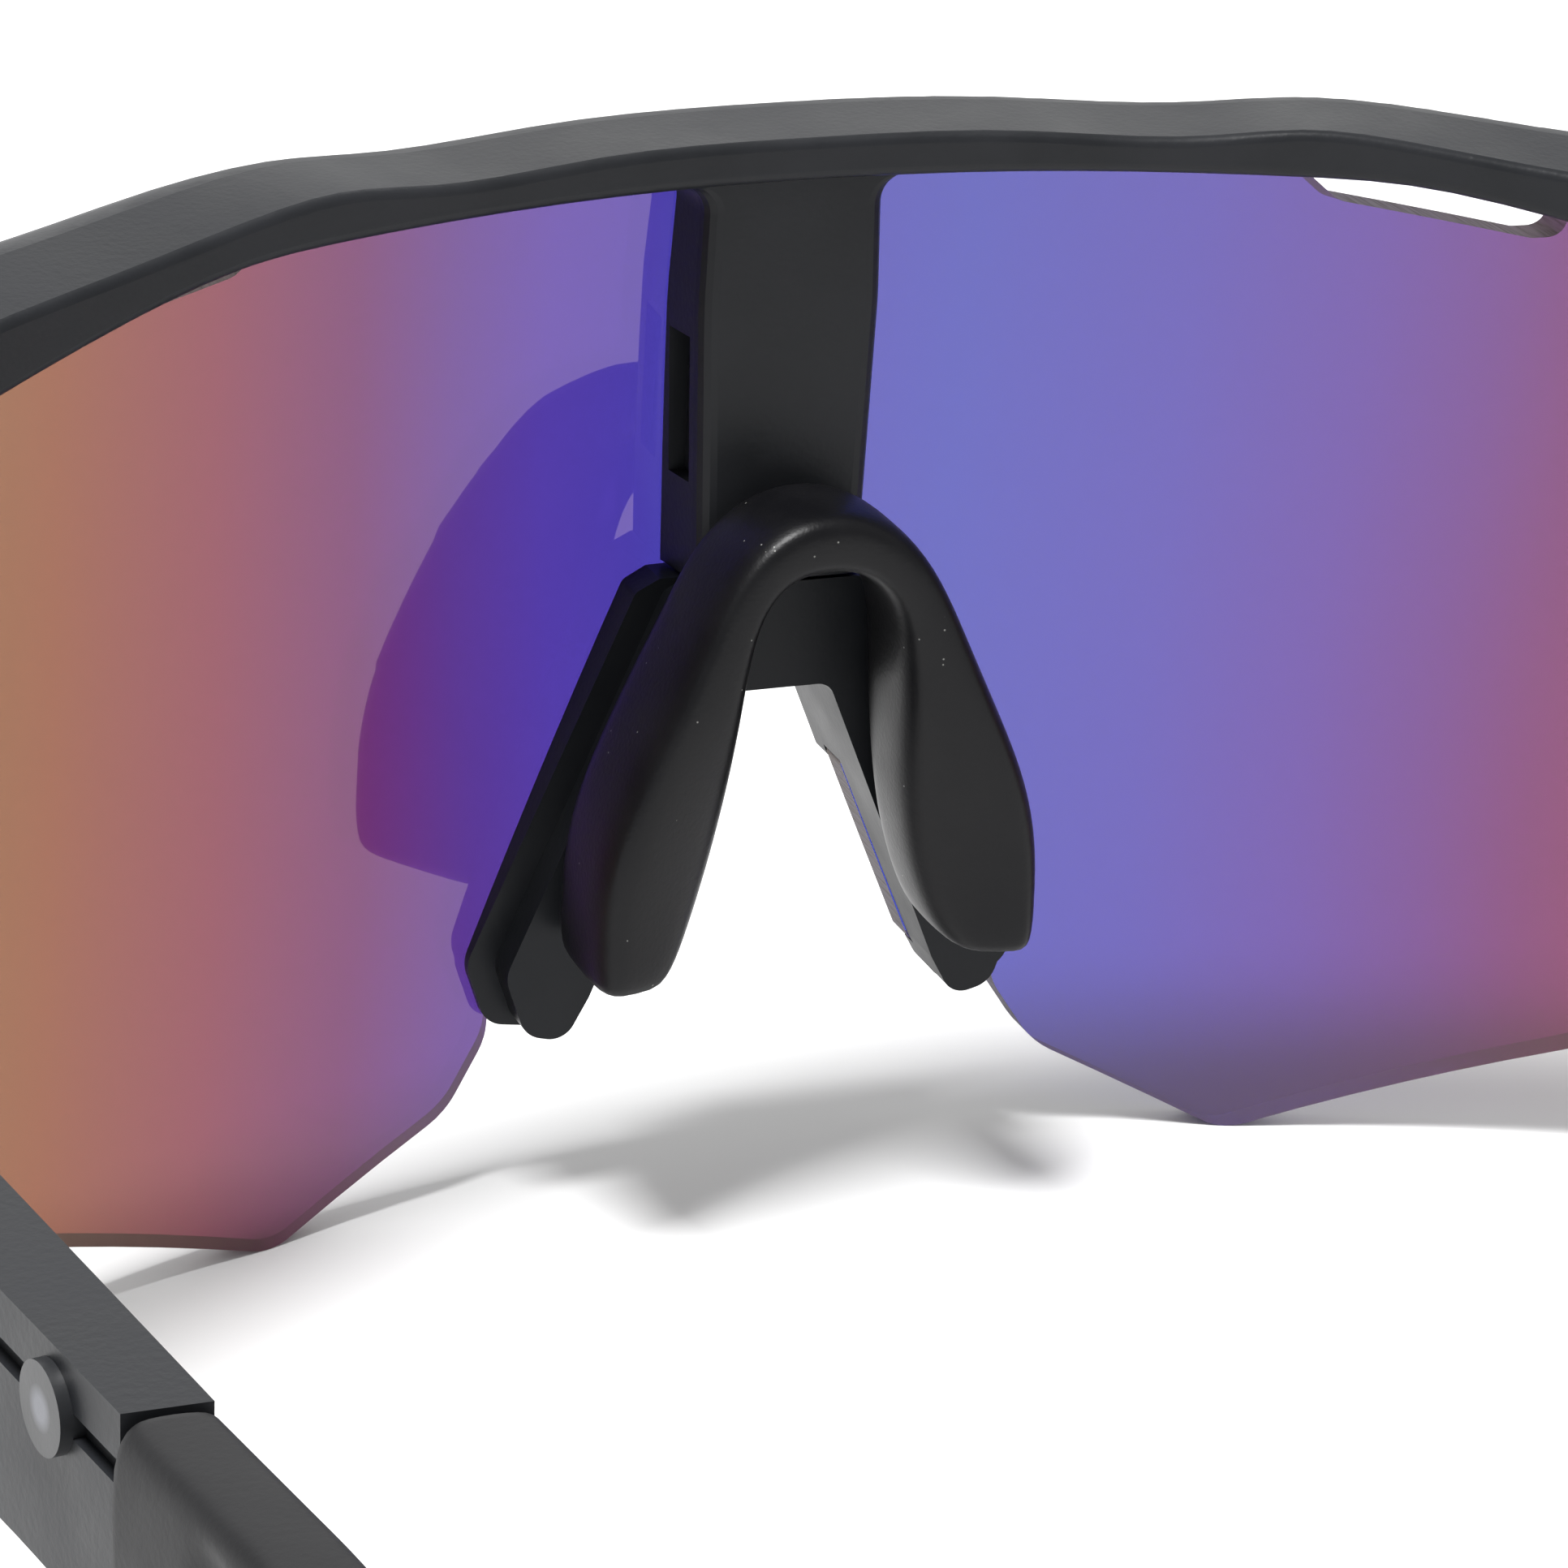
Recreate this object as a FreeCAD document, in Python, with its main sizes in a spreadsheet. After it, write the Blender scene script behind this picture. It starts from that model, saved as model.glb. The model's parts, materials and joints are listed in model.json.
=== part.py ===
import FreeCAD, Part
import math
import os
import re

# Wraparound sport sunglasses.
#
# The model stands on the lens lobes and the two ear tips, +Z up.  The lens faces -Y, the temples run
# towards +Y, and +X is the wearer's left.  It is drawn about the point on the table under the middle
# of the lens's rear face, and moved at the end so that the origin lies under the middle of the model.

doc = FreeCAD.newDocument("sport_sunglasses")

# ---------------------------------------------------------------------------------------------
# Driving dimensions, in millimetres and degrees
# ---------------------------------------------------------------------------------------------
SIZES = [
    # shield lens
    ("lens_radius", 80.3),          # horizontal radius of the rear face
    ("lens_upright_radius", 295.0), # vertical radius of the rear face
    ("lens_middle", 27.0),          # height of the lens's furthest forward point
    ("lens_thickness", 1.9),
    ("lens_half_width", 67.2),      # where the lens ends, from the middle
    ("lobe_offset", 25.2),          # the lowest point of each lobe, from the middle
    ("lens_gap", 0.15),             # play of the lens in its groove
    ("groove_depth", 1.5),          # how far the lens stands in the bar
    ("vent_height", 2.2),           # air slot between the lens and the bar
    ("vent_length", 11.7),
    # nose notch of the lens
    ("notch_low", 10.6),            # height at which the notch half width is given
    ("notch_half", 9.1),
    ("notch_lean", 0.41),           # sideways run of the notch per unit of height
    ("notch_step", 20.3),           # below this the lens is flush with the nose carrier
    ("saddle_height", 26.0),        # underside of the nose carrier's bridge
    # brow bar
    ("brow_height", 54.1),          # crest of the bar above the table
    ("bar_depth", 5.0),             # rear face of the bar behind the lens
    ("front_lip", 1.1),             # wall in front of the lens
    ("underside_drop", 0.6),        # the underside lies this far below the rear lower edge
    # end lugs and hinges
    ("half_width", 71.2),           # outer face of the lug
    ("hinge_setback", 42.0),        # rear face of the lug behind the lens's middle
    ("lug_thickness", 4.2),
    ("lug_height", 11.2),
    ("lug_drop", 3.3),              # crest of the lug below the crest of the bar
    ("knuckle_radius", 2.0),
    ("leaf_thickness", 1.2),
    ("leaf_length", 7.0),
    ("leaf_height", 6.6),
    ("leaf_gap", 0.15),             # leaf's play above and below in its pocket
    ("leaf_end_gap", 0.3),
    ("middle_knuckle", 2.2),
    ("knuckle_gap", 0.1),
    ("knuckle_clearance", 0.25),    # radial room that one leaf leaves for the other's knuckle
    ("pin_radius", 0.8),
    ("pin_gap", 0.05),
    ("screw_head_radius", 1.4),
    ("screw_head_height", 0.7),
    ("screw_slot", 0.4),
    ("fold_gap", 0.3),              # between the lug and the open temple
    # bridge column
    ("column_rear_half", 4.3),
    ("column_front_half", 4.95),
    ("column_rear", 4.4),
    ("column_wall", 1.3),
    ("column_bottom", 31.6),
    ("column_round", 0.9),          # rounding of the two rear corners
    ("column_fillet", 1.4),         # where the column joins the bar
    ("window_low", 36.4),
    ("window_high", 43.6),
    ("window_front", 1.1),
    ("window_rear", 3.1),
    # nose carrier and nose pad
    ("leg_top", 31.4),
    ("leg_spread", 14.7),
    ("foot_height", 8.6),
    ("flange_rear", 2.4),
    ("rib_inset", 1.4),
    ("lip_thickness", 1.0),
    ("lip_low", 19.4),              # the hook over the lens starts here
    ("carrier_overlap", 0.5),       # how far each layer of the carrier runs into the next
    ("tongue_gap", 0.15),
    ("hook_sink", 0.35),            # hook's face inside the column's side face
    ("pad_gap", 0.2),
    ("pad_front", 4.5),
    ("pad_rear", 12.8),             # rear of the wings
    ("arch_clearance", 0.6),        # the arch stands clear of the column
    ("arch_rear", 9.3),             # rear of the arch, nearer to the lens than the wings
    # temples and ear socks
    ("temple_height", 10.8),
    ("temple_drop", 3.5),           # top of the temple below the crest of the bar
    ("temple_thickness", 4.0),
    ("temple_rear_height", 7.3),
    ("temple_rear_thickness", 2.6),
    ("temple_run", 68.5),           # hinge to the mouth of the sock
    ("temple_round", 0.6),
    ("temple_lean", 21.6),          # how far the outer face comes in over plan_length
    ("temple_bow", 0.6),
    ("plan_length", 128.0),
    ("bend_back", 76.0),            # hinge to the start of the ear bend
    ("ear_radius", 36.0),
    ("ear_turn", 64.0),
    ("core_height", 4.0),
    ("core_thickness", 1.2),
    ("core_gap", 0.1),
    ("core_root", 3.0),             # how far the core is rooted in the temple
    ("core_short", 6.0),            # core's end in front of the ear tip's middle
    ("sock_thickness", 3.4),
    ("sock_gap", 0.2),
    ("line_drop", 1.9),             # side groove below the top of the temple
    ("line_start", 16.0),
    ("line_height", 0.8),
    ("line_depth", 0.4),
    ("stud_radius", 1.4),
    ("stud_proud", 0.4),
    ("stud_depth", 1.6),
    ("stud_back", 4.6),             # stud's centre in front of the sock's mouth
    # places that follow from the sizes above
    ("front_face", "=lens_thickness + front_lip"),
    ("hinge_z", "=brow_height - lug_drop - lug_height / 2"),
    ("seat_x", "=half_width - lug_thickness"),
    ("hinge_x", "=half_width - lug_thickness - knuckle_radius"),
    ("hollow_half", "=column_rear_half - column_wall"),
    ("hollow_rear", "=column_rear - column_wall"),
    ("hollow_top", "=window_high + 1.0"),
    ("pocket_half", "=leaf_height / 2 + leaf_gap"),
    ("pocket_inner", "=hinge_x - knuckle_radius - 6.0"),
    ("leaf_reach", "=leaf_length + leaf_end_gap"),
    ("tongue_half", "=hollow_half - tongue_gap"),
    ("tongue_rear", "=hollow_rear - tongue_gap"),
    ("temple_top", "=brow_height - temple_drop"),
    ("temple_front", "=hinge_setback + fold_gap"),
    ("sock_start", "=hinge_setback + temple_run"),
    ("sock_proud", "=(sock_thickness - temple_rear_thickness) / 2"),
    ("core_inset", "=(temple_rear_thickness - core_thickness) / 2"),
]
sheet = doc.addObject("Spreadsheet::Sheet", "sizes")
for row, (alias, amount) in enumerate(SIZES, start=1):
    sheet.set("A%d" % row, alias)
    sheet.set("B%d" % row, str(amount))
    sheet.setAlias("B%d" % row, alias)
doc.recompute()


def size(alias):
    return float(sheet.get(alias))


def formula(text):
    """Expression in which each size's name points at the sheet."""
    return re.sub(r"[a-z]\w*", lambda name: "<<sizes>>." + name.group(0), text)


def vec(x, y, z=0.0):
    return FreeCAD.Vector(x, y, z)


# ---------------------------------------------------------------------------------------------
# Outlines, sketches and features
# ---------------------------------------------------------------------------------------------
def rounded_outline(corners):
    """Closed outline from (x, y, radius) corners: straight runs joined by tangent arcs.

    An arc is limited to half of the shorter run beside it.
    """
    count = len(corners)
    starts = []
    ends = []
    arcs = []
    for index, (x, y, radius) in enumerate(corners):
        corner = vec(x, y)
        before = vec(*corners[index - 1][:2]) - corner
        after = vec(*corners[(index + 1) % count][:2]) - corner
        if radius <= 0:
            starts.append(corner)
            ends.append(corner)
            arcs.append(None)
            continue
        room = 0.49 * min(before.Length, after.Length)
        into = before.normalize()
        out = after.normalize()
        half_angle = math.acos(max(-1.0, min(1.0, into.dot(out)))) / 2
        reach = min(radius / math.tan(half_angle), room)
        radius = reach * math.tan(half_angle)
        middle = (into + out).normalize()
        centre = corner + middle * (radius / math.sin(half_angle))
        start = corner + into * reach
        end = corner + out * reach
        starts.append(start)
        ends.append(end)
        arcs.append(Part.Arc(start, centre - middle * radius, end))
    edges = []
    for index in range(count):
        if arcs[index]:
            edges.append(arcs[index])
        following = (index + 1) % count
        if (starts[following] - ends[index]).Length > 1e-6:
            edges.append(Part.LineSegment(ends[index], starts[following]))
    return edges


def grown(corners, gap):
    """The corners of an outline moved outwards by a gap, with their radii to suit."""
    count = len(corners)
    turning = 0.0
    for index in range(count):
        turning += corners[index - 1][0] * corners[index][1] - corners[index][0] * corners[index - 1][1]
    way = 1 if turning > 0 else -1
    moved = []
    for index, (x, y, radius) in enumerate(corners):
        before = (vec(x, y) - vec(*corners[index - 1][:2])).normalize()
        after = (vec(*corners[(index + 1) % count][:2]) - vec(x, y)).normalize()
        outwards = vec(before.y + after.y, -before.x - after.x) * way
        outwards = outwards * (2 * gap / outwards.dot(outwards))
        bulges = (before.x * after.y - before.y * after.x) * way > 0
        fitted = max(radius + (gap if bulges else -gap), 0.0) if radius > 0 else 0.0
        moved.append((x + outwards.x, y + outwards.y, fitted))
    return moved


def mirrored(half, gap=0.0):
    """Outline that is the same on both sides, from the corners on the +X side, moved out by a gap."""
    return rounded_outline(grown(half + [(-x, y, radius) for x, y, radius in reversed(half)], gap))


def rectangle(x_low, y_low, x_high, y_high):
    return rounded_outline([(x_low, y_low, 0), (x_high, y_low, 0), (x_high, y_high, 0), (x_low, y_high, 0)])


def new_body(label):
    body = doc.addObject("PartDesign::Body", label)
    body.Label = label
    return body


def sketch_on(body, role, name, outlines, offset=None):
    """Sketch on one of the body's own origin planes."""
    sketch = body.newObject("Sketcher::SketchObject", name)
    plane = [feature for feature in body.Origin.OriginFeatures if feature.Role == role][0]
    sketch.AttachmentSupport = (plane, [""])
    sketch.MapMode = "FlatFace"
    if offset:
        sketch.AttachmentOffset = offset
    for outline in outlines:
        for edge in outline:
            sketch.addGeometry(edge, False)
    return sketch


def lifted(distance):
    """Offset of a sketch along its plane's normal."""
    return FreeCAD.Placement(vec(0, 0, distance), FreeCAD.Rotation())


def at_depth(body, name, outlines, y):
    """Sketch of a front view, drawn at a distance behind the lens."""
    return sketch_on(body, "XZ_Plane", name, outlines, lifted(-y))


def pad(body, sketch, name, length):
    feature = body.newObject("PartDesign::Pad", name)
    feature.Profile = sketch
    feature.setExpression("Length", formula(length))
    return feature


def pocket(body, sketch, name, length=None):
    """Pocket to a length, or right through both ways when no length is given."""
    feature = body.newObject("PartDesign::Pocket", name)
    feature.Profile = sketch
    if length:
        feature.setExpression("Length", formula(length))
    else:
        feature.Type = 1
        feature.Midplane = True
    return feature


def box(label, low, high):
    """Part box between two corners, each given as three formulas."""
    feature = doc.addObject("Part::Box", label)
    for index, (side, axis) in enumerate((("Length", "x"), ("Width", "y"), ("Height", "z"))):
        feature.setExpression(side, formula("(%s) - (%s)" % (high[index], low[index])))
        feature.setExpression(".Placement.Base." + axis, formula(low[index]))
    return feature


def boolean(kind, label, base, tool):
    feature = doc.addObject("Part::" + kind, label)
    feature.Label = label
    feature.Base = base
    feature.Tool = tool
    return feature


def mirror_copy(label, source):
    feature = doc.addObject("Part::Mirroring", label)
    feature.Label = label
    feature.Source = source
    feature.Base = vec(0, 0, 0)
    feature.Normal = vec(1, 0, 0)
    return feature


# ---------------------------------------------------------------------------------------------
# Places used by several pieces
# ---------------------------------------------------------------------------------------------
brow = size("brow_height")
lens_radius = size("lens_radius")
lobe = size("lobe_offset")
hinge_x = size("hinge_x")
hinge_y = size("hinge_setback")
hinge_z = size("hinge_z")
saddle = size("saddle_height")

# The bar's section changes along the lens: angle round the lens, how far the crest, the rear ridge and
# the rear lower edge lie below the brow height, and the share of the bar's depth.  The small swelling
# over each lobe is the row at 18.5 degrees.
BAR_STATIONS = [
    (0.0, 0.0, 0.4, 2.3, 1.0),
    (8.0, 0.15, 0.5, 2.35, 1.0),
    (14.5, 0.45, 0.8, 2.5, 1.0),
    (18.5, 0.1, 0.4, 2.6, 1.0),
    (22.0, 0.3, 0.8, 2.8, 1.0),
    (27.0, 1.0, 1.7, 3.85, 1.0),
    (32.5, 1.4, 2.3, 5.3, 1.0),
    (38.0, 1.8, 2.8, 6.8, 0.98),
    (43.0, 2.1, 3.2, 8.6, 0.94),
    (48.0, 2.5, 3.5, 10.6, 0.86),
    (52.0, 2.75, 3.65, 12.2, 0.78),
]


def notch_x(z):
    """Half width of the nose notch at a height, which is the inner face of a nose leg."""
    return size("notch_half") + size("notch_lean") * (size("notch_low") - z)


def underside(x):
    """Height of the bar's underside over the lens at a distance from the middle."""
    places = [(lens_radius * math.sin(math.radians(angle)), brow - low - size("underside_drop"))
              for angle, crest, ridge, low, depth in BAR_STATIONS]
    for (x0, z0), (x1, z1) in zip(places, places[1:]):
        if x <= x1:
            return z0 + (z1 - z0) * (x - x0) / (x1 - x0)
    return places[-1][1]


# ---------------------------------------------------------------------------------------------
# Shield lens, and the room that it takes in the pieces that hold it
# ---------------------------------------------------------------------------------------------
def lens_outline(gap):
    """Front view of the lens: nose notch, lobe, outer sweep, then the top edge with its air slot."""
    end = size("lens_half_width")
    step = size("notch_step")
    beside = 1.3                    # the lens stands this far outside the hook's reach
    over = saddle + 2.2
    vent = size("vent_height")
    vent_in = lobe + 0.3
    vent_out = vent_in + size("vent_length")

    def held(x):
        return underside(x) + size("groove_depth")

    half = [
        (notch_x(over) + beside, over, 1.2),
        (notch_x(step) + beside, step, 0.3),
        (notch_x(step), step, 0.3),
        (notch_x(size("notch_low")), size("notch_low") - 0.2, 0.4),
        (13.2, 10.2, 0.6),
        (13.4, 8.0, 3.0),
        (15.6, 4.6, 4.0),
        (lobe, -0.25, 2.6),
        (lobe + 16.5, 5.6, 45.0),
        (lobe + 31.0, 11.8, 30.0),
        (end - 1.8, 25.5, 14.0),
        (end, 36.0, 8.0),
        (end - 2.2, held(end - 2.2), 1.5),
        (51.0, held(51.0), 0),
        (vent_out + 1.0, held(vent_out), 0.6),
        (vent_out, underside(vent_out) - vent + 0.4, 0.9),
        (vent_out - 1.2, underside(vent_out - 1.2) - vent, 0.6),
        (vent_in + 1.9, underside(vent_in + 1.9) - vent + 0.3, 1.2),
        (vent_in, underside(vent_in) - 0.3, 0.5),
        (vent_in - 0.4, held(vent_in), 0.3),
        (lens_radius * 0.2, held(lens_radius * 0.2), 0),
    ]
    return mirrored(half, gap)


def lens_body(label, gap):
    """Lens shell turned about the upright axis, trimmed to its outline; gap enlarges it all round."""
    body = new_body(label)
    upright = size("lens_upright_radius")
    middle = size("lens_middle")
    reach = brow + 6.0 - middle
    section = []
    ends = []
    for arc_radius in (upright - gap, upright + size("lens_thickness") + gap):
        sag = arc_radius - math.sqrt(arc_radius ** 2 - reach ** 2)
        apex = upright - arc_radius - lens_radius
        low = vec(apex + sag, middle - reach)
        high = vec(apex + sag, middle + reach)
        section.append(Part.Arc(low, vec(apex, middle), high))
        ends.append((low, high))
    section.append(Part.LineSegment(ends[0][1], ends[1][1]))
    section.append(Part.LineSegment(ends[1][0], ends[0][0]))
    offset = FreeCAD.Placement(vec(lens_radius, 0, 0), FreeCAD.Rotation())
    profile = sketch_on(body, "YZ_Plane", label + "_section", [section], offset)
    turned = body.newObject("PartDesign::Revolution", label + "_shell")
    turned.Profile = profile
    turned.ReferenceAxis = (profile, ["V_Axis"])
    turned.Angle = 126
    turned.Midplane = True
    around = 90.0                   # well outside the lens
    ring = [rectangle(-around, -around, around, around), lens_outline(gap)]
    pocket(body, sketch_on(body, "XZ_Plane", label + "_outline", ring), label + "_trim")
    return body


shield_lens = lens_body("shield_lens", 0.0)
lens_room = lens_body("lens_room", size("lens_gap"))

# ---------------------------------------------------------------------------------------------
# Front frame: brow bar with end lugs, bridge column with its side windows
# ---------------------------------------------------------------------------------------------
bar = new_body("brow_bar")


def bar_section(name, x, y, angle, outer, inner, crest, ridge, low, under, crown):
    """Section of the bar at a place and angle: outer and inner are its reach to either side."""
    corners = [
        (-outer, under, 0.4),
        (-outer + 0.25, crest - 0.9, 0.9),
        (-outer * 0.15, crest, crown),
        (inner, ridge, 0.45),
        (inner, low, 0.5),
        (0.7 * inner - 1.6, under, 0.4),
    ]
    turn = FreeCAD.Placement(vec(y, 0, x), FreeCAD.Rotation(vec(0, 1, 0), angle))
    return sketch_on(bar, "YZ_Plane", name, [rounded_outline(corners)], turn)


bar_sections = []
sag = (brow - size("lens_middle")) ** 2 / (2 * size("lens_upright_radius"))
for side in (-1, 1):
    for index, (angle, crest, ridge, low, depth) in enumerate(BAR_STATIONS):
        if side < 0 and index == 0:
            continue
        turned = math.radians(side * angle)
        x = (lens_radius - sag) * math.sin(turned)
        y = lens_radius - (lens_radius - sag) * math.cos(turned)
        bar_sections.append((side * angle, bar_section(
            "bar_at_%d_%d" % (side + 1, index), x, y, side * angle,
            size("front_face"), size("bar_depth") * depth,
            brow - crest, brow - ridge, brow - low, brow - low - size("underside_drop"), 3.0)))
    # the bar runs on past the lens into a lug whose rear face is square to the temple
    lug_crest = hinge_z + size("lug_height") / 2
    lug_low = hinge_z - size("lug_height") / 2
    lug_outer = 2.7
    lug_inner = size("lug_thickness") - lug_outer
    lug_x = size("half_width") - lug_outer
    bar_sections.append((side * 68.0, bar_section(
        "lug_start_%d" % (side + 1), side * (lug_x - 1.6), hinge_y - 6.5, side * 68.0,
        lug_outer + 0.1, lug_outer, lug_crest + 0.1, lug_crest - 0.5, lug_low + 0.3, lug_low, 1.5)))
    bar_sections.append((side * 90.0, bar_section(
        "lug_face_%d" % (side + 1), side * lug_x, hinge_y, side * 90.0,
        lug_outer, lug_inner, lug_crest, lug_crest - 0.4, lug_low + 0.3, lug_low, 1.2)))
bar_sections.sort(key=lambda entry: entry[0])
ordered = [sketch for angle, sketch in bar_sections]
doc.recompute()
bar_loft = bar.newObject("PartDesign::AdditiveLoft", "bar_loft")
bar_loft.Profile = ordered[0]
bar_loft.Sections = ordered[1:]
bar_loft.Ruled = False

# The column hangs from the bar and is hollow: the nose carrier's tongue stands in it.
column = new_body("bridge_column")


def column_outline(half):
    """Front view of the column, with the fillets that join it to the bar."""
    junction = underside(0) + 0.05
    fillet = size("column_fillet")
    head = 7.5                      # half width of the part inside the bar
    return mirrored([
        (half - 0.25, size("column_bottom"), 0),
        (half + 0.15, junction - 6.0, 25.0),
        (half, junction, fillet),
        (head, junction, 0),
        (head, junction + fillet, 0),
    ])


def column_half(y):
    """Half width of the column's side walls, which draw in towards the rear."""
    taper = size("column_front_half") - size("column_rear_half")
    return size("column_front_half") - taper * y / size("column_rear")


column_front = -0.5
column_round = size("column_round")
column_sections = [at_depth(column, "column_front", [column_outline(column_half(column_front))],
                            column_front)]
for step in range(5):
    angle = math.radians(22.5 * step)
    y = size("column_rear") - column_round * (1 - math.sin(angle))
    half = column_half(size("column_rear") - column_round) - column_round * (1 - math.cos(angle))
    column_sections.append(at_depth(column, "column_round_%d" % step, [column_outline(half)], y))
column_loft = column.newObject("PartDesign::AdditiveLoft", "column_loft")
column_loft.Profile = column_sections[0]
column_loft.Sections = column_sections[1:]
column_loft.Ruled = True
doc.recompute()

frame_solid = boolean("Fuse", "frame_solid", bar, column)
hollow = box("column_hollow", ("-hollow_half", "-1", "column_bottom - 1"),
             ("hollow_half", "hollow_rear", "hollow_top"))
windows = box("column_windows", ("-2 * column_front_half", "window_front", "window_low"),
              ("2 * column_front_half", "window_rear", "window_high"))
pocket_low = ("pocket_inner", "hinge_setback - leaf_reach", "hinge_z - pocket_half")
pocket_high = ("seat_x", "hinge_setback + 1", "hinge_z + pocket_half + screw_head_height")
left_pocket = box("front_pocket_left", pocket_low, pocket_high)
right_pocket = box("front_pocket_right", ("-seat_x",) + pocket_low[1:], ("-pocket_inner",) + pocket_high[1:])
front_frame = frame_solid
for name, tool in (("frame_groove", lens_room), ("frame_hollow", hollow), ("frame_windows", windows),
                   ("frame_left_hinge", left_pocket), ("front_frame", right_pocket)):
    front_frame = boolean("Cut", name, front_frame, tool)

# ---------------------------------------------------------------------------------------------
# Hinges: a steel leaf with two knuckles in the frame, one with a single knuckle in the temple
# ---------------------------------------------------------------------------------------------
knuckle = size("knuckle_radius")
half_leaf = size("leaf_height") / 2
half_middle = size("middle_knuckle") / 2
half_slot = half_middle + size("knuckle_gap")


def hinge_leaf(label, way):
    """Plate with a rolled knuckle about the hinge axis; way is -1 to the front, 1 to the rear."""
    body = new_body(label)
    inside = knuckle - size("leaf_thickness")
    end = way * size("leaf_length")
    corner = vec(inside, way * math.sqrt(knuckle ** 2 - inside ** 2))
    plan = [
        Part.LineSegment(vec(knuckle, 0), vec(knuckle, end)),
        Part.LineSegment(vec(knuckle, end), vec(inside, end)),
        Part.LineSegment(vec(inside, end), corner),
        Part.Arc(corner, vec(-knuckle, 0), vec(knuckle, 0)),
    ]
    pad(body, sketch_on(body, "XY_Plane", label + "_plan", [plan], lifted(-half_leaf)),
        label + "_blank", "leaf_height")
    return body


def make_room(body, name, way, high, height):
    """Takes away what the other leaf's knuckle needs below a height."""
    reach = knuckle + 1.0
    y_low, y_high = sorted((-way * reach, way * (knuckle + size("knuckle_clearance"))))
    plan = [rectangle(-reach, y_low, reach, y_high)]
    pocket(body, sketch_on(body, "XY_Plane", name + "_plan", plan, lifted(high)), name, height)


def bore(body, name):
    """Hole for the screw through the knuckles."""
    hole = Part.Circle(vec(0, 0), vec(0, 0, 1), size("pin_radius") + size("pin_gap"))
    pocket(body, sketch_on(body, "XY_Plane", name + "_plan", [[hole]]), name)


front_leaf = hinge_leaf("front_hinge_leaf_left", -1)
make_room(front_leaf, "front_leaf_slot", -1, half_slot, "middle_knuckle + 2 * knuckle_gap")
bore(front_leaf, "front_leaf_bore")

rear_leaf = hinge_leaf("temple_hinge_leaf_left", 1)
make_room(rear_leaf, "rear_leaf_upper", 1, half_leaf, "(leaf_height - middle_knuckle) / 2")
make_room(rear_leaf, "rear_leaf_lower", 1, -half_middle, "(leaf_height - middle_knuckle) / 2")
bore(rear_leaf, "rear_leaf_bore")

# The screw is turned about the hinge axis: a shaft with a low cheese head on the upper knuckle.
screw = new_body("hinge_screw_left")
head_top = half_leaf + size("screw_head_height")
pin = size("pin_radius")
head = size("screw_head_radius")
screw_section = rounded_outline([
    (0, -half_leaf, 0),
    (pin, -half_leaf, 0),
    (pin, half_leaf, 0),
    (head, half_leaf, 0),
    (head, head_top, 0.3),
    (0, head_top, 0),
])
screw_profile = sketch_on(screw, "XZ_Plane", "screw_section", [screw_section])
screw_turned = screw.newObject("PartDesign::Revolution", "screw_turned")
screw_turned.Profile = screw_profile
screw_turned.ReferenceAxis = (screw_profile, ["V_Axis"])
screw_turned.Angle = 360
half_driver = size("screw_slot") / 2
slot_plan = [rectangle(-head - 0.2, -half_driver, head + 0.2, half_driver)]
pocket(screw, sketch_on(screw, "XY_Plane", "screw_slot_plan", slot_plan, lifted(head_top)),
       "screw_slot", "screw_head_height * 0.5")
for piece in (front_leaf, rear_leaf, screw):
    piece.Placement = FreeCAD.Placement(vec(hinge_x, hinge_y, hinge_z), FreeCAD.Rotation())

# ---------------------------------------------------------------------------------------------
# Nose carrier: an inverted V behind the lens, hooked over the nose notch, with a tongue in the column
# ---------------------------------------------------------------------------------------------
leg_top = size("leg_top")
foot = size("foot_height")
under_round = 0.9                   # rounding under the bridge of the carrier


def leg_outline(inset):
    """Both legs and the bridge between them; inset moves the outer edge in."""
    spread = size("leg_spread") - inset
    return mirrored([
        (2.8, saddle, under_round),
        (notch_x(size("notch_low")) - 0.1, size("notch_low") + 0.2, 0.8),
        (10.2, foot, 1.2),
        (spread - 1.1, foot + 0.5, 1.4),
        (spread, foot + 3.7, 1.6),
        (6.6 - inset, leg_top - 0.6, 0.6),
        (5.4 - inset, leg_top, 0),
    ])


carrier_blank = new_body("carrier_blank")
pad(carrier_blank, at_depth(carrier_blank, "flange_outline", [leg_outline(0.0)], size("flange_rear")),
    "flange", "flange_rear")
rib_rear = size("pad_front") - size("pad_gap")
pad(carrier_blank, at_depth(carrier_blank, "rib_outline", [leg_outline(size("rib_inset"))], rib_rear),
    "rib", "pad_front - pad_gap - flange_rear + 0.1")
lip_low = size("lip_low")
hook_outline = mirrored([
    (2.8, saddle, under_round),
    (notch_x(lip_low), lip_low, 0.5),
    (notch_x(lip_low) + 2.6, lip_low + 0.6, 0.6),
    (notch_x(saddle) + 2.9, saddle + 3.4, 1.5),
])
overlap = size("carrier_overlap")
pad(carrier_blank, at_depth(carrier_blank, "hook_outline", [hook_outline], overlap),
    "hook", "lens_thickness + lens_gap + lip_thickness + 0.25 + carrier_overlap")
tongue_half = size("tongue_half")
tongue_top = size("window_high") + 0.6
tongue_front = [
    (-tongue_half, leg_top - 1.0, 0),
    (tongue_half, leg_top - 1.0, 0),
    (tongue_half, tongue_top, 0.8),
    (-tongue_half, tongue_top, 0.8),
]
tongue_rear = size("tongue_rear")
pad(carrier_blank, at_depth(carrier_blank, "tongue_outline", [rounded_outline(tongue_front)], tongue_rear),
    "tongue", "tongue_rear - carrier_overlap")
catch_half = size("column_rear_half") - size("hook_sink")
catch_front = rectangle(-catch_half, size("window_low") + size("tongue_gap"),
                        catch_half, size("window_high") - 2.0)
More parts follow.
